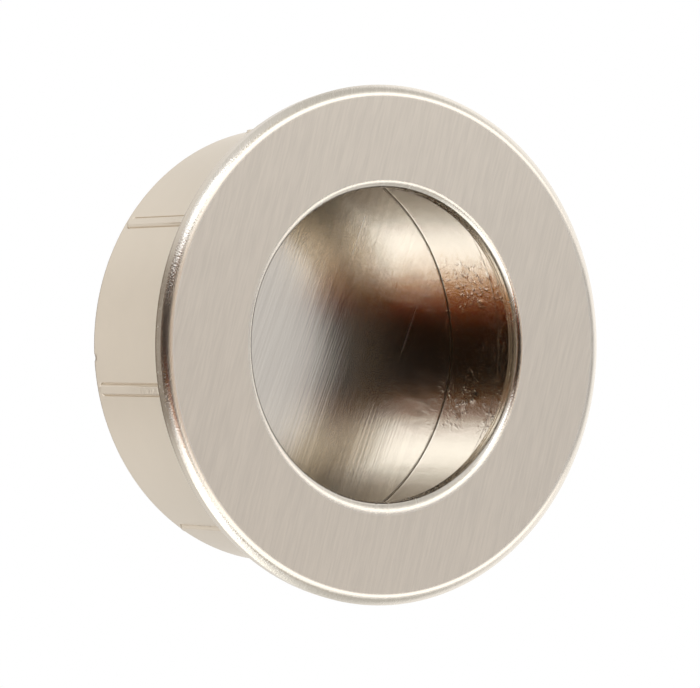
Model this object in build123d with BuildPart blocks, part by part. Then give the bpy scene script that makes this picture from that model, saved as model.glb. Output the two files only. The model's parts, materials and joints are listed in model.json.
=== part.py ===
from build123d import *
import os
from math import radians, tan

# A round recessed pull that is pushed into a bored hole. One casting is the flange,
# the finger lip, the sleeve and its ribs. A flat disc closes the sleeve's rear.
# The axis lies along Y and the front looks towards -Y. The origin is the centre of
# the flange's back face, the one that lands on the door. All sizes are millimetres.

# Bored hole in the door, and the sleeve that goes into it
hole_diameter = 35.0
sleeve_clearance = 0.3
sleeve_length = 14.2
wall_thickness = 1.6
wall_draft = 0.5
rear_rim_chamfer = 0.25

# Flange in front of the door. The round on its rim starts gently on the face and
# ends on the flange's side with a crease.
flange_overhang = 2.8
flange_thickness = 1.4
rim_round_width = 0.9
rim_round_depth = 0.43

# Finger lip: the flange runs inward past the wall, down to the opening
lip_overhang = 3.5
lip_front_round = 0.5
lip_back_chamfer = 0.15
lip_corner_chamfer = 0.6

# Ribs that centre the sleeve in the hole
rib_count = 8
first_rib_angle = 11.5
rib_width = 0.8
rib_height = 0.2
rib_end_gap = 0.65
rib_crest_chamfer = 0.1

# Disc at the rear, and the seat for it that is turned into the end of the wall
plate_thickness = 0.8
plate_setback = 0.2
plate_clearance = 0.05
plate_edge_chamfer = 0.15
seat_width = 0.8
seat_edge_chamfer = 0.12

# Radii and places that follow from the sizes above
sleeve_radius = hole_diameter / 2 - sleeve_clearance
flange_radius = sleeve_radius + flange_overhang
cavity_radius = sleeve_radius - wall_thickness
seat_radius = cavity_radius + seat_width
plate_radius = seat_radius - plate_clearance
opening_radius = cavity_radius - lip_overhang
seat_y = sleeve_length - plate_setback - plate_thickness
lip_corner_radius = cavity_radius - seat_y * tan(radians(wall_draft))
front_y = -flange_thickness
crease_y = front_y + rim_round_depth
rib_length = sleeve_length - rib_end_gap


def corner(sketch, radius, y):
    """The corner of the half section nearest to a radius and a depth."""
    return sketch.vertices().sort_by_distance((radius, y))[0]


# One rib on the +X side, sunk into the wall by its own height. It starts a little
# inside the flange, so that its bevelled crest meets the flange at full height, and
# its rear end is rounded.
rib_straight = rib_length - rib_width / 2
rib_root = rib_crest_chamfer
with BuildPart() as rib:
    with BuildSketch(Plane.YZ.offset(sleeve_radius - rib_height)):
        with Locations((-rib_root, 0)):
            Rectangle(rib_root + rib_straight, rib_width, align=(Align.MIN, Align.CENTER))
        with Locations((rib_straight, 0)):
            Circle(rib_width / 2)
    extrude(amount=2 * rib_height)
    crest = rib.faces().sort_by(Axis.X)[-1]
    chamfer(crest.edges(), length=rib_crest_chamfer)

# The casting's half section, with the radius along X, turned about the axis. The
# opening is smaller than the cavity, so the flange's inner part hangs over it.
with BuildPart() as housing:
    with BuildSketch() as section:
        with BuildLine():
            face = Line((opening_radius, front_y), (flange_radius - rim_round_width, front_y))
            rim = TangentArc(face @ 1, (flange_radius, crease_y), tangent=face % 1)
            Polyline(
                rim @ 1,
                (flange_radius, 0),
                (sleeve_radius, 0),
                (sleeve_radius, sleeve_length),
                (seat_radius, sleeve_length),
                (seat_radius, seat_y),
                (cavity_radius, seat_y),
                (lip_corner_radius, 0),
                (opening_radius, 0),
                face @ 0,
            )
        make_face()
        fillet(corner(section, opening_radius, front_y), radius=lip_front_round)
        chamfer(corner(section, lip_corner_radius, 0), length=lip_corner_chamfer)
        chamfer(corner(section, opening_radius, 0), length=lip_back_chamfer)
        chamfer(corner(section, sleeve_radius, sleeve_length), length=rear_rim_chamfer)
        chamfer(corner(section, cavity_radius, seat_y), length=seat_edge_chamfer)
    revolve(axis=Axis.Y)
    rib_turns = [first_rib_angle + index * 360 / rib_count for index in range(rib_count)]
    with Locations(*[Location((0, 0, 0), (0, -turn, 0)) for turn in rib_turns]):
        add(rib.part)

# The disc, its front face against the end of the wall
with BuildPart() as back_plate:
    with BuildSketch(Plane.XZ.offset(-seat_y)):
        Circle(plate_radius)
    extrude(amount=-plate_thickness)
    chamfer(back_plate.edges().sort_by(Axis.Y)[-1], length=plate_edge_chamfer)

housing.part.label = "housing"
back_plate.part.label = "back_plate"

os.makedirs("parts", exist_ok=True)
export_step(housing.part, "parts/housing.step")
export_step(back_plate.part, "parts/back_plate.step")
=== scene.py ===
import json
from math import asin, cos, pi, radians, sin, tan

import bmesh
import bpy
import numpy as np
from mathutils import Euler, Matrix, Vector, noise


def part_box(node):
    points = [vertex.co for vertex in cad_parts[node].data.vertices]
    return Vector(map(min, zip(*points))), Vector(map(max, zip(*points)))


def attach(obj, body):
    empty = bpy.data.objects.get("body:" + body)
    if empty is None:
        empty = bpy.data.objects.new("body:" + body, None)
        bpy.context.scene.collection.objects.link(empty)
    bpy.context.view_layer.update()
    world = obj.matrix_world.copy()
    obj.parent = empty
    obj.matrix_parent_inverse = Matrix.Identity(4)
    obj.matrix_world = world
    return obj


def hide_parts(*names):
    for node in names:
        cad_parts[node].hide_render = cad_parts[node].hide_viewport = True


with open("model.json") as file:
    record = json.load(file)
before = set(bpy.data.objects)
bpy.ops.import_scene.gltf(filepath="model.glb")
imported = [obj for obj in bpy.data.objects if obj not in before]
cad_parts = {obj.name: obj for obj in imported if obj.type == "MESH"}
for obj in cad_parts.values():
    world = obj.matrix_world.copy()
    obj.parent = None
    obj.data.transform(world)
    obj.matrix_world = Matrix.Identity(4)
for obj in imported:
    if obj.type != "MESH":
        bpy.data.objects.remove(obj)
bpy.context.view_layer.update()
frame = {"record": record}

MM = 0.001

# Sizes that the frame gives, in metres
housing_low, housing_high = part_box("housing")
plate_low, plate_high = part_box("back_plate")
mounts = {mount["name"]: mount for mount in frame["record"]["mounts"]}
FRONT_Y = housing_low.y
REAR_Y = housing_high.y
FLANGE_R = housing_high.x
SLEEVE_R = mounts["sleeve"]["dims"]["r_mm"] * MM
SLEEVE_CYLINDER = mounts["sleeve"]["dims"]["length_mm"] * MM
PLATE_R = plate_high.x
FLOOR_Y = plate_low.y

# Sizes of the casting's section that the frame doesn't state
WALL = 1.6 * MM
LIP_OVERHANG = 3.5 * MM
RIM_ROUND_WIDTH = 0.9 * MM
RIM_ROUND_DEPTH = 0.43 * MM
BACK_EDGE_ROUND = 0.06 * MM
SIDE_DRAFT = 0.09 * MM
LIP_ROUND = 0.5 * MM
LIP_BACK_ROUND = 0.15 * MM
INNER_CORNER = 0.25 * MM
SEAT_WIDTH = 0.8 * MM
SEAT_BEVEL = 0.12 * MM
SEAM_GAP = 0.03 * MM
PLATE_BEVEL = 0.15 * MM
WALL_DRAFT = radians(0.5)
CAVITY_R = SLEEVE_R - WALL
OPENING_R = CAVITY_R - LIP_OVERHANG
SEAT_R = CAVITY_R + SEAT_WIDTH
CORNER_R = CAVITY_R - FLOOR_Y * tan(WALL_DRAFT)

# Hand polishing has worn the lip's front round wider towards the bottom
LIP_ROUND_TOP = 0.62 * MM
LIP_ROUND_BOTTOM = 0.95 * MM

# Narrow rings of faces beside a round, which keep the flat faces' shading flat
EDGE_RING = 0.04 * MM
PLATE_EDGE_RING = 0.02 * MM

# The disc's mesh starts and ends in a tiny ring. Points this near to the axis are joined.
AXIS_RING = 0.0001 * MM
AXIS_JOIN = 0.001 * MM

# Turning marks on the lip's land, and the core's parting line round the inner wall
LAND_FRONT = -0.7 * MM
LAND_PITCH = 0.27 * MM
LAND_MARK = 0.008 * MM
CORE_LINE_Y = 6.2 * MM
CORE_LINE_HALF = 0.07 * MM
CORE_LINE_DEPTH = 0.015 * MM

# Ripples and mottling of the inner wall. They fade in over a short way from the corner.
WALL_RIPPLE = 0.005 * MM
WALL_MOTTLE = 0.003 * MM
WALL_FADE = 0.8 * MM

# Casting pits in the inner wall: angle from the right upward in degrees, place along the
# axis, half width and depth of the pit in millimetres. A negative depth is a pimple. A
# pit runs out into the wall at its half width divided by PIT_FLARE.
PIT_FLARE = 0.6
WALL_PITS = [
    (-16.1, 8.8, 0.26, 0.05),
    (-20.4, 10.3, 0.2, -0.04),
    (20.7, 6.2, 0.14, 0.05),
    (24.0, 9.6, 0.16, 0.03),
    (12.5, 8.1, 0.2, 0.03),
    (-23.5, 6.4, 0.15, 0.04),
]

# The ragged burr on the disc where the wall's end lands on it
BURR_INNER = 0.13 * MM
BURR_HEIGHT = 0.01 * MM
BURR_RAGGED = 0.03 * MM
BURR_OUTER = 0.03 * MM
BURR_ROUND_R = CAVITY_R - 0.06 * MM
BURR_KNOT_ANGLE = radians(30.3)
BURR_KNOT_HALF = radians(0.7)
BURR_KNOT_WIDTH = 0.12 * MM

# Ribs on the sleeve
RIB_COUNT = 8
FIRST_RIB = radians(11.5)
RIB_WIDTH = 0.8 * MM
RIB_HEIGHT = 0.2 * MM
RIB_FLANK = 0.12 * MM
RIB_GROOVE = 0.15 * MM
RIB_END = REAR_Y - 0.65 * MM

# The mesh has even columns round the axis, and closer ones near each rib: these far
# from the rib's middle, in millimetres, with no even ones nearer than RIB_CLEAR
EVEN_COLUMNS = 400
RIB_COLUMNS = [0, 0.15, 0.26, 0.3, 0.34, 0.4, 0.44, 0.48, 0.54, 0.62]
RIB_CLEAR = 0.7 * MM
DISC_COLUMNS = 720
CREASE_ANGLE = radians(32)

# A small nick in the sleeve's rear edge, on the left
NICK_ANGLE = radians(183.3)
NICK_HALF = 0.3 * MM
NICK_DEPTH = 0.12 * MM

# Directions of the brushing, measured from upright towards the right
FACE_LEAN = radians(15.9)
FLOOR_LEAN = radians(21.7)

# Camera, from the photo's perspective
YAW = radians(32.69)
CAMERA_DISTANCE = 345 * MM
AIM_RIGHT = 2.95 * MM
AIM_UP = 0.08 * MM
SENSOR_MM = 36
FOCAL_PX = 4495
PHOTO_WIDTH_PX = 700


class Section:
    """The rows of points of a turned piece's section, each with its finish."""

    def __init__(self):
        self.points = []
        self.finishes = []

    def line(self, start, end, count, finish):
        for step in range(count):
            share = step / count
            r = start[0] + (end[0] - start[0]) * share
            y = start[1] + (end[1] - start[1]) * share
            self.points.append((r, y))
            self.finishes.append(finish)

    def arc(self, centre, radius, start, end, count, finish):
        for step in range(count):
            angle = start + (end - start) * step / count
            self.points.append((centre[0] + radius * cos(angle), centre[1] + radius * sin(angle)))
            self.finishes.append(finish)


def housing_section():
    """The casting's closed section, from the lip out over the front and back inside."""
    rear_bevel = REAR_Y - SLEEVE_CYLINDER
    crease_y = FRONT_Y + RIM_ROUND_DEPTH
    rim_round = (RIM_ROUND_WIDTH ** 2 + RIM_ROUND_DEPTH ** 2) / (2 * RIM_ROUND_DEPTH)
    rim_sweep = asin(RIM_ROUND_WIDTH / rim_round)
    face_inner = OPENING_R + LIP_ROUND
    face_outer = FLANGE_R - RIM_ROUND_WIDTH
    section = Section()
    section.line((face_inner, FRONT_Y), (face_inner + EDGE_RING, FRONT_Y), 1, "face")
    section.line((face_inner + EDGE_RING, FRONT_Y), (face_outer - EDGE_RING, FRONT_Y), 4, "face")
    section.line((face_outer - EDGE_RING, FRONT_Y), (face_outer, FRONT_Y), 1, "face")
    rim_centre = (face_outer, FRONT_Y + rim_round)
    section.arc(rim_centre, rim_round, -pi / 2, rim_sweep - pi / 2, 12, "rim")
    side_r = FLANGE_R - SIDE_DRAFT
    section.line((FLANGE_R, crease_y), (side_r, -BACK_EDGE_ROUND), 4, "band")
    back_edge = (side_r - BACK_EDGE_ROUND, -BACK_EDGE_ROUND)
    section.arc(back_edge, BACK_EDGE_ROUND, 0, pi / 2, 3, "band")
    section.line((side_r - BACK_EDGE_ROUND, 0), (SLEEVE_R, 0), 2, "plain")
    section.line((SLEEVE_R, 0), (SLEEVE_R, RIB_END - RIB_WIDTH), 8, "sleeve")
    section.line((SLEEVE_R, RIB_END - RIB_WIDTH), (SLEEVE_R, RIB_END + 2 * RIB_FLANK), 22, "sleeve")
    section.line((SLEEVE_R, RIB_END + 2 * RIB_FLANK), (SLEEVE_R, SLEEVE_CYLINDER), 2, "sleeve")
    section.arc((SLEEVE_R - rear_bevel, SLEEVE_CYLINDER), rear_bevel, 0, pi / 2, 5, "sleeve")
    section.line((SLEEVE_R - rear_bevel, REAR_Y), (SEAT_R, REAR_Y), 2, "plain")
    section.line((SEAT_R, REAR_Y), (SEAT_R, FLOOR_Y), 2, "plain")
    seam_y = FLOOR_Y - SEAM_GAP
    seam_r = CAVITY_R + SEAT_BEVEL - SEAM_GAP
    section.line((SEAT_R, FLOOR_Y), (SEAT_R - SEAM_GAP, seam_y), 1, "plain")
    section.line((SEAT_R - SEAM_GAP, seam_y), (seam_r, seam_y), 1, "plain")
    wall_rear = (CAVITY_R, FLOOR_Y - SEAT_BEVEL)
    wall_front = (CORNER_R, INNER_CORNER)

    def on_wall(y):
        share = (y - wall_rear[1]) / (wall_front[1] - wall_rear[1])
        return (wall_rear[0] + (wall_front[0] - wall_rear[0]) * share, y)

    line_rear = on_wall(CORE_LINE_Y + 1.5 * CORE_LINE_HALF)
    line_front = on_wall(CORE_LINE_Y - 1.5 * CORE_LINE_HALF)
    section.line((seam_r, seam_y), wall_rear, 1, "wall")
    section.line(wall_rear, line_rear, 30, "wall")
    section.line(line_rear, line_front, 6, "wall")
    section.line(line_front, wall_front, 24, "wall")
    section.arc((CORNER_R - INNER_CORNER, INNER_CORNER), INNER_CORNER, 0, -pi / 2, 5, "wall")
    section.line((CORNER_R - INNER_CORNER, 0), (OPENING_R + LIP_BACK_ROUND, 0), 3, "under")
    back_centre = (OPENING_R + LIP_BACK_ROUND, -LIP_BACK_ROUND)
    round_y = FRONT_Y + LIP_ROUND
    section.arc(back_centre, LIP_BACK_ROUND, pi / 2, pi, 4, "land")
    section.line((OPENING_R, -LIP_BACK_ROUND), (OPENING_R, LAND_FRONT), 12, "land")
    section.line((OPENING_R, LAND_FRONT), (OPENING_R, round_y), 1, "lip")
    section.arc((OPENING_R + LIP_ROUND, round_y), LIP_ROUND, pi, 1.5 * pi, 12, "lip")
    return section


def columns():
    """Angles of the mesh columns about the axis: even, and closer at each rib and nick."""
    angles = {round(2 * pi * index / EVEN_COLUMNS, 9) for index in range(EVEN_COLUMNS)}
    near_nick = [NICK_HALF * step / 4 / SLEEVE_R for step in range(-5, 6)]
    angles |= {round(NICK_ANGLE + offset, 9) for offset in near_nick}
    for index in range(RIB_COUNT):
        centre = FIRST_RIB + 2 * pi * index / RIB_COUNT
        clear = RIB_CLEAR / SLEEVE_R
        angles = {a for a in angles if abs((a - centre + pi) % (2 * pi) - pi) > clear}
        for offset in RIB_COLUMNS:
            for side in (-1, 1):
                angles.add(round((centre + side * offset * MM / SLEEVE_R) % (2 * pi), 9))
    return sorted(angles)


def rib_relief(angle, y):
    """Height of the ribs above the sleeve: a slot-shaped ridge with a sloping flank,
    and a shallow groove at its foot."""
    pitch = 2 * pi / RIB_COUNT
    off = ((angle - FIRST_RIB + pitch / 2) % pitch - pitch / 2) * SLEEVE_R
    past = max(0, y - (RIB_END - RIB_WIDTH / 2))
    inside = RIB_WIDTH / 2 - (off * off + past * past) ** 0.5
    if inside < 0:
        return -RIB_GROOVE * max(0, 1 - abs(inside / RIB_FLANK + 0.5) * 2)
    return RIB_HEIGHT * min(1, inside / RIB_FLANK)


def nick_relief(angle, y):
    """The nick in the sleeve's rear edge, deepest at the very end."""
    off = (angle - NICK_ANGLE) * SLEEVE_R / NICK_HALF
    along = (y - SLEEVE_CYLINDER + NICK_HALF) / (REAR_Y - SLEEVE_CYLINDER + NICK_HALF)
    return -NICK_DEPTH * max(0, 1 - off * off) * min(1, max(0, along))


def wall_relief(angle, y):
    """The cast wall's drag ripples and mottling, the core's parting line, and the pits."""
    around = Vector((cos(angle), 0, sin(angle))) * CAVITY_R / MM
    ripple = noise.noise(around * 1.6 + Vector((0, y / MM * 0.18, 0)))
    mottle = noise.noise(around * 1.1 + Vector((7, y / MM * 0.9, 3)))
    wander = 0.6 * CORE_LINE_HALF * noise.noise(around * 0.5)
    off = abs(y - CORE_LINE_Y - wander) / CORE_LINE_HALF
    relief = WALL_RIPPLE * ripple + WALL_MOTTLE * mottle + CORE_LINE_DEPTH * max(0, 1 - off)
    for degrees, pit_y, half, depth in WALL_PITS:
        turn = (angle - radians(degrees) + pi) % (2 * pi) - pi
        distance = ((turn * CAVITY_R / MM) ** 2 + (y / MM - pit_y) ** 2) ** 0.5
        relief += depth * MM * max(0, 1 - (PIT_FLARE * distance / half) ** 2)
    return relief * min(1, max(0, (y - INNER_CORNER) / WALL_FADE))


def burr_relief(angle, r):
    """The burr's ragged inner edge, and the knot where it is thickest."""
    around = Vector((cos(angle), 0, sin(angle)))
    ragged = BURR_RAGGED * (noise.noise(around * 9) + 0.6 * noise.noise(around * 31))
    knot = max(0, 1 - abs(angle - BURR_KNOT_ANGLE) / BURR_KNOT_HALF)
    return ragged - BURR_KNOT_WIDTH * knot if r < BURR_ROUND_R else 0


def land_relief(y):
    """Shallow turning marks round the lip's land."""
    return LAND_MARK * (1 - cos(2 * pi * (y - LAND_FRONT) / LAND_PITCH))


def lip_widening(angle, r):
    """How much wider the lip's round is than its drawn size: more towards the bottom."""
    low = max(0, -sin(angle)) ** 2
    high = max(0, sin(angle)) ** 2
    spare = low * (LIP_ROUND_BOTTOM - LIP_ROUND) + high * (LIP_ROUND_TOP - LIP_ROUND)
    return spare * min(1, (r - OPENING_R) / LIP_ROUND)


def turned_mesh(name, section, angles, relief, ring=True):
    """A closed mesh of the section turned about the Y axis. Without ring the section
    starts and ends on the axis instead of closing on itself."""
    rows = len(section.points)
    cols = len(angles)
    vertices = []
    for (r, y), finish in zip(section.points, section.finishes):
        for angle in angles:
            radius = r + relief(finish, angle, r, y)
            vertices.append((radius * cos(angle), y, radius * sin(angle)))
    faces = []
    for row in range(rows if ring else rows - 1):
        below = (row + 1) % rows * cols
        for col in range(cols):
            beside = (col + 1) % cols
            faces.append((row * cols + col, below + col, below + beside, row * cols + beside))
    mesh = bpy.data.meshes.new(name)
    mesh.from_pydata(vertices, [], faces)
    if not ring:
        shape = bmesh.new()
        shape.from_mesh(mesh)
        middle = [v for v in shape.verts if Vector((v.co.x, 0, v.co.z)).length < AXIS_JOIN]
        bmesh.ops.remove_doubles(shape, verts=middle, dist=AXIS_JOIN)
        shape.to_mesh(mesh)
        shape.free()
    return mesh


def fill_slots(mesh, slot_of_row, cols):
    """Gives every face of a row that row's material."""
    slots = np.repeat(slot_of_row, cols)[:len(mesh.polygons)]
    mesh.polygons.foreach_set("material_index", slots.astype(np.int32))


def brush_map(mesh, lean):
    """A UV map whose U runs across the brushing, in millimetres."""
    layer = mesh.uv_layers.new(name="brushing")
    places = np.empty(len(mesh.vertices) * 3, np.float32)
    mesh.vertices.foreach_get("co", places)
    places = places.reshape(-1, 3) / MM
    corners = np.empty(len(mesh.loops), np.int32)
    mesh.loops.foreach_get("vertex_index", corners)
    x, z = places[corners, 0], places[corners, 2]
    across = x * cos(lean) - z * sin(lean)
    along = x * sin(lean) + z * cos(lean)
    layer.data.foreach_set("uv", np.stack([across, along], 1).ravel())


class Nodes:
    """A short way to write a node tree: each call adds a node and returns it."""

    def __init__(self, tree):
        self.tree = tree
        tree.nodes.clear()

    def add(self, kind, settings=None, **inputs):
        node = self.tree.nodes.new(kind)
        for key, value in (settings or {}).items():
            setattr(node, key, value)
        for key, value in inputs.items():
            self.feed(node.inputs[int(key[2:]) if key.startswith("in") else key], value)
        return node

    def feed(self, socket, value):
        if isinstance(value, bpy.types.NodeSocket):
            self.tree.links.new(value, socket)
        else:
            socket.default_value = value

    def math(self, operation, first, second=0.0):
        return self.add("ShaderNodeMath", {"operation": operation}, in0=first, in1=second).outputs[0]

    def smooth(self, value, low, high):
        """0 below low, 1 above high, and a smooth ramp between."""
        node = self.add("ShaderNodeMapRange", {"interpolation_type": "SMOOTHSTEP"}, Value=value)
        node.inputs["From Min"].default_value = low
        node.inputs["From Max"].default_value = high
        return node.outputs[0]

    def mix(self, factor, first, second):
        """A colour between first and second."""
        node = self.add("ShaderNodeMix", {"data_type": "RGBA"})
        self.feed(node.inputs[0], factor)
        self.feed(node.inputs[6], first)
        self.feed(node.inputs[7], second)
        return node.outputs[2]

    def noise(self, where, scale, detail=2.0, roughness=0.5):
        node = self.add("ShaderNodeTexNoise", None, Vector=where, Scale=scale, Detail=detail)
        node.inputs["Roughness"].default_value = roughness
        return node.outputs[0]

    def stretched(self, where, factors):
        """The place with each axis scaled: a larger factor makes a noise finer that way."""
        return self.add("ShaderNodeMapping", None, Vector=where, Scale=factors).outputs[0]

    def place_mm(self):
        """The place on the object, in millimetres."""
        where = self.add("ShaderNodeTexCoord").outputs["Object"]
        return self.stretched(where, (1 / MM, 1 / MM, 1 / MM))

    def from_axis(self, place):
        """How far a place is from the Y axis."""
        node = self.add("ShaderNodeVectorMath", {"operation": "LENGTH"})
        self.feed(node.inputs[0], self.stretched(place, (1, 0, 1)))
        return node.outputs["Value"]

    def blend(self, first, second, share):
        """First and second added up, with the given share of the second."""
        kept = self.math("MULTIPLY", first, 1 - share)
        return self.math("ADD", kept, self.math("MULTIPLY", second, share))

    def span(self, value, low, high):
        """A value from 0 to 1 moved to run from low to high."""
        node = self.add("ShaderNodeMapRange", None, Value=value)
        node.inputs["To Min"].default_value = low
        node.inputs["To Max"].default_value = high
        return node.outputs[0]

    def bump(self, height, depth, normal):
        """The normal that a height map of the given depth leaves."""
        node = self.add("ShaderNodeBump", {"invert": depth < 0}, Height=height, Distance=abs(depth))
        if normal:
            self.feed(node.inputs["Normal"], normal)
        return node.outputs[0]


NICKEL = (0.66, 0.61, 0.54)
WARM_NICKEL = (0.665, 0.59, 0.49)
# The lip's underside gets a lighter nickel than the rest of the plating: painted light that brightens the
# reflections it passes into the cavity
PAINTED_LIGHT_UNDERSIDE_NICKEL = (0.8, 0.75, 0.66)
# Dark brown for the ring of the disc under the wall's end: painted shade in the seam between the wall and
# the disc
SEAM_SHADE_BROWN = (0.09, 0.06, 0.04)

# Brushing: how deep the lines and broader bands of lines are, how much rougher the long
# scratches are, and from what radius to what radius the rim's dents come in, in mm
LINE_DEPTH = 0.006 * MM
BRUSH_WAVE = 0.004 * MM
SCRATCH_ROUGHNESS = 0.1
WORN_RADII = (FLANGE_R / MM - 0.8, FLANGE_R / MM - 0.2)

# Plated parts: where along the axis the painted shade near the flange fades out, so that the
# colour turns lighter towards the rear, and the scuffs on the ribs' crests, with
# where they start and end along the axis and what radii count as a crest, in mm
PAINTED_SHADE_FADE = (-2, 15)
SCUFF_DEPTH = 0.1 * MM
SCUFFS_START = (0.05, 0.3)
SCUFFS_END = (9, 5)
CREST_RADII = ((SLEEVE_R + 0.6 * RIB_HEIGHT) / MM, (SLEEVE_R + 0.9 * RIB_HEIGHT) / MM)

# The cast skin: how deep its drag lines, grain and small pits are, and from what height
# to what height above or below the centre the pits fade in, in mm
DRAG_DEPTH = 0.0025 * MM
GRAIN_DEPTH = 0.005 * MM
PIT_DEPTH = 0.016 * MM
PITS_END = (8.5, 5.5)


def shade(colour, factor):
    """A colour made lighter or darker, as a node socket takes it."""
    return tuple(min(1, part * factor) for part in colour) + (1,)


def new_material(name):
    material = bpy.data.materials.new(name)
    material.use_nodes = True
    return material, Nodes(material.node_tree)


def metal(nodes, colour, roughness, normal, anisotropy=0.0, tangent=None):
    """The metal shader at the end of a material, fed by the sockets given."""
    shader = nodes.add("ShaderNodeBsdfPrincipled", None, Metallic=1.0, Anisotropic=anisotropy)
    nodes.feed(shader.inputs["Base Color"], colour)
    nodes.feed(shader.inputs["Roughness"], roughness)
    nodes.feed(shader.inputs["Normal"], normal)
    if tangent:
        nodes.feed(shader.inputs["Tangent"], tangent)
    nodes.add("ShaderNodeOutputMaterial", None, Surface=shader.outputs[0])
    return shader


def brushed_metal(name, roughness, anisotropy, streak, stroke, fuzz, worn=0.0):
    """Nickel brushed in one direction: the highlight spreads across the lines.

    Streak is how much the lines differ in tone, stroke about how long they are in
    millimetres, and fuzz how much short dents lean. Worn is how much rougher the flange's
    outermost edge is."""
    material, nodes = new_material(name)
    uv = nodes.add("ShaderNodeUVMap", {"uv_map": "brushing"}).outputs[0]
    fine = nodes.noise(nodes.stretched(uv, (6, 1 / stroke, 1)), 1, 3)
    broad = nodes.noise(nodes.stretched(uv, (1.7, 0.05, 1)), 1, 3)
    dents = nodes.noise(nodes.stretched(uv, (11, 7, 1)), 1, 2)
    long_lines = nodes.noise(nodes.stretched(uv, (9, 0.05, 1)), 1, 1)
    scratches = nodes.smooth(long_lines, 0.71, 0.78)
    level = nodes.blend(fine, broad, 0.35)
    colour = nodes.mix(nodes.smooth(level, 0.3, 0.7), shade(NICKEL, 1 - streak), shade(NICKEL, 1 + streak))
    rough = nodes.span(level, roughness * 0.75, roughness * 1.35)
    rough = nodes.math("ADD", rough, nodes.math("MULTIPLY", scratches, SCRATCH_ROUGHNESS))
    if worn:
        outer = nodes.smooth(nodes.from_axis(nodes.place_mm()), *WORN_RADII)
        rough = nodes.math("ADD", rough, nodes.math("MULTIPLY", outer, worn))
        dents = nodes.math("MULTIPLY", dents, outer)
    lean = nodes.bump(broad, BRUSH_WAVE, None)
    lean = nodes.bump(fine, LINE_DEPTH, lean)
    lean = nodes.bump(dents, fuzz, lean)
    tangent = nodes.add("ShaderNodeTangent", {"direction_type": "UV_MAP", "uv_map": "brushing"})
    metal(nodes, colour, rough, lean, anisotropy, tangent.outputs[0])
    return material


def turned_metal(name, roughness, bump):
    """Plated metal with fine marks that run round the axis."""
    material, nodes = new_material(name)
    place = nodes.place_mm()
    marks = nodes.noise(nodes.stretched(place, (0.12, 9, 0.12)), 1, 3)
    skin = nodes.noise(place, 2.5, 3)
    colour = nodes.mix(nodes.blend(marks, skin, 0.4), shade(WARM_NICKEL, 0.9), shade(WARM_NICKEL, 1.06))
    rough = nodes.span(skin, roughness * 0.85, roughness * 1.15)
    tangent = nodes.add("ShaderNodeTangent", {"direction_type": "RADIAL", "axis": "Y"}).outputs[0]
    shader = metal(nodes, colour, rough, nodes.bump(marks, bump, None), 0.5, tangent)
    shader.inputs["Anisotropic Rotation"].default_value = 0.25
    return material


def plated_metal(name, roughness, bump, tint=WARM_NICKEL):
    """Plated metal without brushing: a satin skin with a faint unevenness, painted shade that
    makes it darker near the flange and lighter towards the rear, and scuffs on the ribs' crests."""
    material, nodes = new_material(name)
    place = nodes.place_mm()
    skin = nodes.noise(place, 2.2, 4, 0.6)
    broad = nodes.noise(place, 0.35, 2)
    depth_mm = nodes.add("ShaderNodeSeparateXYZ", None, Vector=place).outputs[1]
    # The tone blends random unevenness with painted shade that darkens the plating near the flange
    tone = nodes.blend(nodes.blend(skin, broad, 0.5), nodes.smooth(depth_mm, *PAINTED_SHADE_FADE), 0.5)
    colour = nodes.mix(tone, shade(tint, 0.88), shade(tint, 1.06))
    rough = nodes.span(skin, roughness * 0.88, roughness * 1.12)
    crest = nodes.smooth(nodes.from_axis(place), *CREST_RADII)
    before_end = nodes.smooth(depth_mm, *SCUFFS_END)
    along = nodes.math("MULTIPLY", before_end, nodes.smooth(depth_mm, *SCUFFS_START))
    scuffs = nodes.noise(nodes.stretched(place, (1, 2.2, 1)), 2.4, 3)
    scuffed = nodes.math("MULTIPLY", scuffs, nodes.math("MULTIPLY", crest, along))
    metal(nodes, colour, rough, nodes.bump(scuffed, SCUFF_DEPTH, nodes.bump(skin, bump, None)))
    return material


def cast_metal(name, roughness):
    """The inner wall as it left the mould: drag lines along the axis, grain and pits."""
    material, nodes = new_material(name)
    place = nodes.place_mm()
    drag = nodes.noise(nodes.stretched(place, (3.4, 0.16, 3.4)), 1, 3)
    grain = nodes.noise(place, 4.2, 3, 0.6)
    pits = nodes.noise(place, 2.8, 2, 0.5)
    patch = nodes.smooth(nodes.noise(nodes.stretched(place, (0.3, 0.45, 0.3)), 1, 2), 0.38, 0.58)
    height = nodes.add("ShaderNodeSeparateXYZ", None, Vector=place).outputs[2]
    middle = nodes.smooth(nodes.math("ABSOLUTE", height), *PITS_END)
    deep = nodes.smooth(pits, 0.46, 0.3)
    pitted = nodes.math("MULTIPLY", nodes.math("MULTIPLY", deep, patch), middle)
    colour = nodes.mix(grain, shade(NICKEL, 0.8), shade(NICKEL, 0.9))
    rough = nodes.span(grain, roughness * 0.85, roughness * 1.15)
    normal = nodes.bump(drag, DRAG_DEPTH, None)
    normal = nodes.bump(grain, GRAIN_DEPTH, normal)
    normal = nodes.bump(pitted, -PIT_DEPTH, normal)
    metal(nodes, colour, rough, normal)
    return material


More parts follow.
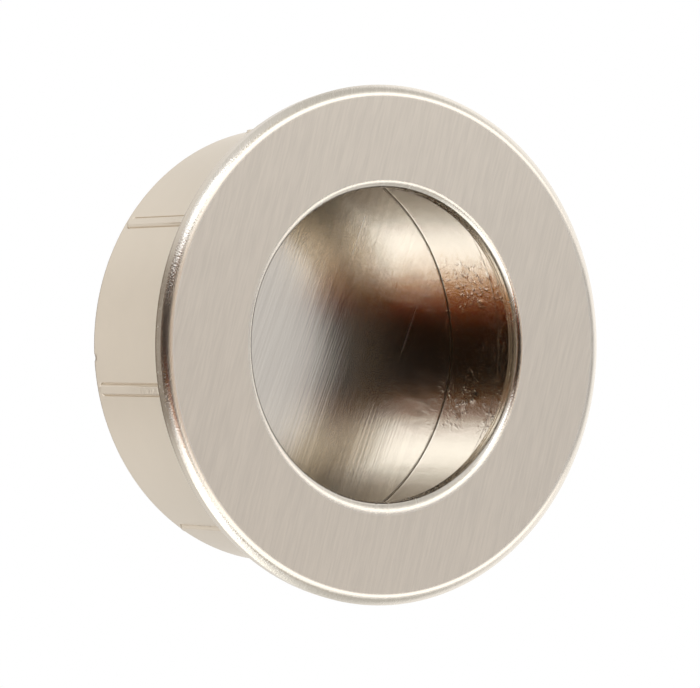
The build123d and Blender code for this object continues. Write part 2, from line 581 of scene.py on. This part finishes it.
def make_housing(finishes):
    """The casting: flange, lip, sleeve with ribs, and the cast inner wall."""
    section = housing_section()
    polished_r = OPENING_R + LIP_ROUND + 1.25 * EDGE_RING

    def relief(finish, angle, r, y):
        if finish == "sleeve":
            ribs = rib_relief(angle, y) if y < SLEEVE_CYLINDER else 0
            return ribs + nick_relief(angle, y)
        if finish == "wall" and INNER_CORNER < y < FLOOR_Y - SEAT_BEVEL:
            return wall_relief(angle, y)
        if finish == "land" and y < -LIP_BACK_ROUND:
            return land_relief(y)
        if finish in ("lip", "face") and r < polished_r:
            return lip_widening(angle, r)
        return 0

    angles = columns()
    mesh = turned_mesh("casting", section, angles, relief)
    names = list(finishes)
    for name in names:
        mesh.materials.append(finishes[name])
    fill_slots(mesh, [names.index(finish) for finish in section.finishes], len(angles))
    brush_map(mesh, FACE_LEAN)
    mesh.shade_smooth()
    mesh.set_sharp_from_angle(angle=CREASE_ANGLE)
    casting = bpy.data.objects.new("casting", mesh)
    bpy.context.scene.collection.objects.link(casting)
    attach(casting, "root")
    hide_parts("housing")


def make_disc(brushed, seam_shade):
    """The rear disc: flat brushed front, small edge bevel at the back, and the ring that the
    wall's end covers, coloured dark brown as painted shade in the seam between wall and disc."""
    section = Section()
    back_y = plate_high.y
    burr_top = FLOOR_Y - BURR_HEIGHT
    burr_start = CAVITY_R - BURR_INNER
    burr_crest = burr_start + 0.4 * BURR_INNER
    burr_end = CAVITY_R - BURR_OUTER
    section.line((AXIS_RING, FLOOR_Y), (burr_start - PLATE_EDGE_RING, FLOOR_Y), 12, "face")
    section.line((burr_start - PLATE_EDGE_RING, FLOOR_Y), (burr_start, FLOOR_Y), 1, "face")
    section.line((burr_start, FLOOR_Y), (burr_crest, burr_top), 2, "burr")
    section.line((burr_crest, burr_top), (burr_end, burr_top), 1, "burr")
    section.line((burr_end, burr_top), (CAVITY_R, FLOOR_Y), 1, "burr")
    section.line((CAVITY_R, FLOOR_Y), (PLATE_R, FLOOR_Y), 1, "joint")
    section.line((PLATE_R, FLOOR_Y), (PLATE_R, back_y - PLATE_BEVEL), 1, "face")
    section.arc((PLATE_R - PLATE_BEVEL, back_y - PLATE_BEVEL), PLATE_BEVEL, 0, pi / 2, 4, "face")
    section.line((PLATE_R - PLATE_BEVEL, back_y), (AXIS_RING, back_y), 12, "face")
    section.line((AXIS_RING, back_y), (0, back_y), 1, "face")
    angles = [2 * pi * index / DISC_COLUMNS for index in range(DISC_COLUMNS)]

    def relief(finish, angle, r, y):
        return burr_relief(angle, r) if finish == "burr" else 0

    mesh = turned_mesh("rear_disc", section, angles, relief, False)
    mesh.materials.append(brushed)
    mesh.materials.append(seam_shade)
    rows = [1 if finish == "joint" else 0 for finish in section.finishes[:-1]]
    fill_slots(mesh, rows, DISC_COLUMNS)
    brush_map(mesh, FLOOR_LEAN)
    mesh.shade_smooth()
    mesh.set_sharp_from_angle(angle=CREASE_ANGLE)
    disc = bpy.data.objects.new("rear_disc", mesh)
    bpy.context.scene.collection.objects.link(disc)
    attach(disc, "root")
    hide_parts("back_plate")


def make_camera():
    """The photo's camera: level, to the left of the axis."""
    forward = Vector((sin(YAW), cos(YAW), 0))
    right = Vector((cos(YAW), -sin(YAW), 0))
    data = bpy.data.cameras.new("camera")
    data.sensor_width = SENSOR_MM
    data.lens = FOCAL_PX * SENSOR_MM / PHOTO_WIDTH_PX
    data.clip_start = 0.01
    data.clip_end = 10
    camera = bpy.data.objects.new("camera", data)
    face_centre = Vector((0, FRONT_Y, 0))
    camera.location = face_centre - forward * CAMERA_DISTANCE - right * AIM_RIGHT
    camera.location.z += AIM_UP
    camera.rotation_euler = Euler((pi / 2, 0, -YAW))
    bpy.context.scene.collection.objects.link(camera)
    bpy.context.scene.camera = camera


# The studio around the pull: soft boxes and dark cards, each with its azimuth range
# and height range in degrees, the softness of its edges and its colour. Azimuth 0 is
# straight in front of the pull, and positive is to its right. A row that ends in True is
# there above and below alike, and a later row lies over an earlier one.
STUDIO_SURROUND = (1.0, 1.0, 1.0)
STUDIO = [
    ("left wall", (-142, -100), (-70, 70), 16, (1.6, 1.6, 1.6), False),
    ("rear card, left", (-200, -155), (-16, 16), 10, (0.12, 0.08, 0.045), False),
    ("rear card, right", (165, 200), (-16, 16), 10, (0.12, 0.08, 0.045), False),
    ("right room", (16, 75), (32, 95), 12, (0.7, 0.7, 0.68), True),
    ("lower box", (-70, -10), (-95, -34), 10, (2.4, 2.45, 2.4), False),
    ("upper room", (-70, -10), (44, 95), 8, (0.9, 0.9, 0.9), False),
    ("front glow", (-14, 24), (14, 31), 6, (2.2, 2.3, 2.3), True),
    ("front gap", (-6, 18), (31, 41), 6, (0.62, 0.52, 0.4), True),
    ("front centre", (0, 22), (-14, 14), 6, (0.8, 0.62, 0.46), False),
    ("front boxes", (-38, -10), (17, 43), 5, (3.6, 3.85, 4.15), True),
    ("lower gap", (-13, 8), (-36, -29), 4, (0.45, 0.38, 0.3), False),
    ("side card", (-86, -58), (-34, 34), 10, (0.32, 0.18, 0.09), False),
    ("camera card", (-70, -2), (-21.5, 24), 3, (0.01, 0.005, 0.002), False),
    ("warm edge", (-36, -12), (-22.5, -16.5), 3, (1.5, 0.75, 0.06), False),
    ("orange edge", (-36, -12), (-17.5, -11), 3, (0.5, 0.04, 0.0), False),
    ("brown edge", (-36, -12), (16, 24), 4, (0.42, 0.15, 0.02), False),
    ("right strips", (4, 62), (9, 23), 5, (2.1, 2.05, 2.0), True),
    ("right box", (18, 46), (-7, 7), 5, (0.81, 0.82, 0.85), False),
    ("far right", (46, 62), (-9, 9), 8, (0.4, 0.4, 0.41), False),
    ("right wall", (72, 150), (-60, 60), 14, (1.4, 1.4, 1.4), False),
]


def make_world():
    """The studio of soft boxes and cards that the metal mirrors, on white."""
    world = bpy.data.worlds.new("studio")
    bpy.context.scene.world = world
    world.use_nodes = True
    nodes = Nodes(world.node_tree)
    direction = nodes.add("ShaderNodeTexCoord").outputs["Generated"]
    parts = nodes.add("ShaderNodeSeparateXYZ", None, Vector=direction)
    front = nodes.math("MULTIPLY", parts.outputs[1], -1.0)
    azimuth = nodes.math("DEGREES", nodes.math("ARCTAN2", parts.outputs[0], front))
    height = nodes.math("DEGREES", nodes.math("ARCSINE", parts.outputs[2]))
    either = nodes.math("ABSOLUTE", height)

    def between(value, low, high, soft):
        """1 from low to high, and 0 beyond its soft edges."""
        rise = nodes.smooth(value, low - soft / 2, low + soft / 2)
        fall = nodes.smooth(value, high + soft / 2, high - soft / 2)
        return nodes.math("MULTIPLY", rise, fall)

    colour = shade(STUDIO_SURROUND, 1)
    for name, across, upward, soft, tone, both in STUDIO:
        sideways = between(azimuth, *across, soft)
        mask = nodes.math("MULTIPLY", sideways, between(either if both else height, *upward, soft))
        colour = nodes.mix(mask, colour, tone + (1,))
        colour.node.label = name
    seen = nodes.mix(nodes.add("ShaderNodeLightPath").outputs["Is Camera Ray"], colour, (1, 1, 1, 1))
    background = nodes.add("ShaderNodeBackground", None, Color=seen, Strength=1.0)
    nodes.add("ShaderNodeOutputWorld", None, Surface=background.outputs[0])


def make_floor():
    """A plain pale floor some way below the pull, which is held by its sleeve. The metal
    mirrors the studio through it."""
    half = 0.22
    drop = -0.1
    mesh = bpy.data.meshes.new("floor")
    corners = [(-half, -half, drop), (half, -half, drop), (half, half, drop), (-half, half, drop)]
    mesh.from_pydata(corners, [], [(0, 1, 2, 3)])
    material, nodes = new_material("pale_floor")
    place = nodes.add("ShaderNodeTexCoord").outputs["Object"]
    tone = nodes.mix(nodes.noise(place, 40, 2), (0.9, 0.9, 0.89, 1), (0.93, 0.93, 0.92, 1))
    shader = nodes.add("ShaderNodeBsdfPrincipled", None, Roughness=0.9)
    nodes.feed(shader.inputs["Base Color"], tone)
    clear = nodes.add("ShaderNodeBsdfTransparent")
    mirrored = nodes.add("ShaderNodeLightPath").outputs["Is Glossy Ray"]
    surface = nodes.add("ShaderNodeMixShader", None, in0=mirrored, in1=shader.outputs[0],
                        in2=clear.outputs[0])
    nodes.add("ShaderNodeOutputMaterial", None, Surface=surface.outputs[0])
    mesh.materials.append(material)
    floor = bpy.data.objects.new("floor", mesh)
    bpy.context.scene.collection.objects.link(floor)


make_camera()
make_world()
make_floor()
make_housing({
    "face": brushed_metal("brushed_face", 0.34, 0.85, streak=0.055, stroke=2.8, fuzz=0.002 * MM),
    "rim": brushed_metal("worn_rim", 0.22, 0.7, streak=0.04, stroke=2.8, fuzz=0.018 * MM, worn=0.03),
    "band": turned_metal("rim_side", 0.26, bump=0.004 * MM),
    "lip": brushed_metal("worn_lip", 0.24, 0.75, streak=0.04, stroke=2.8, fuzz=0.01 * MM),
    "land": turned_metal("turned_land", 0.26, bump=0.003 * MM),
    "plain": plated_metal("plated_back", 0.4, bump=0.002 * MM),
    "sleeve": plated_metal("plated_sleeve", 0.42, bump=0.004 * MM),
    "wall": cast_metal("cast_wall", 0.23),
    # The underside's lighter nickel is painted light, to brighten the reflections in the cavity
    "under": plated_metal("lip_underside", 0.1, bump=0.001 * MM, tint=PAINTED_LIGHT_UNDERSIDE_NICKEL),
})
make_disc(
    brushed_metal("brushed_disc", 0.16, 0.75, streak=0.06, stroke=11, fuzz=0.0001 * MM),
    # The ring under the wall's end is coloured dark brown: painted shade in the seam
    plated_metal("painted_seam_shade", 0.6, bump=0.001 * MM, tint=SEAM_SHADE_BROWN),
)

# The light goes round inside the cavity many times, from metal to metal
bpy.context.scene.cycles.glossy_bounces = 12
bpy.context.scene.cycles.blur_glossy = 0

bpy.context.scene.view_settings.view_transform = "Standard"
